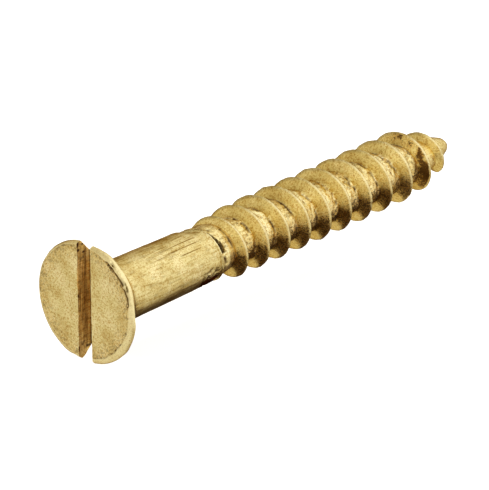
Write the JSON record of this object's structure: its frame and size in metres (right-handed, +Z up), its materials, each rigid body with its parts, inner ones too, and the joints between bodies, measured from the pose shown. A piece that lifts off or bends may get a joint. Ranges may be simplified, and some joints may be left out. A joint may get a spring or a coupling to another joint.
{
  "type": "wood screw",
  "caption": "Slotted countersunk wood screw in plain brass, with a plain shank, a coarse right-hand thread and a blunt tapered point.",
  "frame": {"origin": "on the surface that the head's rim touches, under the middle of the screw's length", "axes": "+X along the screw from the head to the point, +Z up along the driver slot"},
  "size_m": [0.0314, 0.0072, 0.0071],
  "materials": {
    "brass": "plain cold-formed brass, satin with drawing lines along the shank and a rougher thread"
  },
  "bodies": {
    "root": {"wood_screw": "brass"}
  },
  "joints": []
}
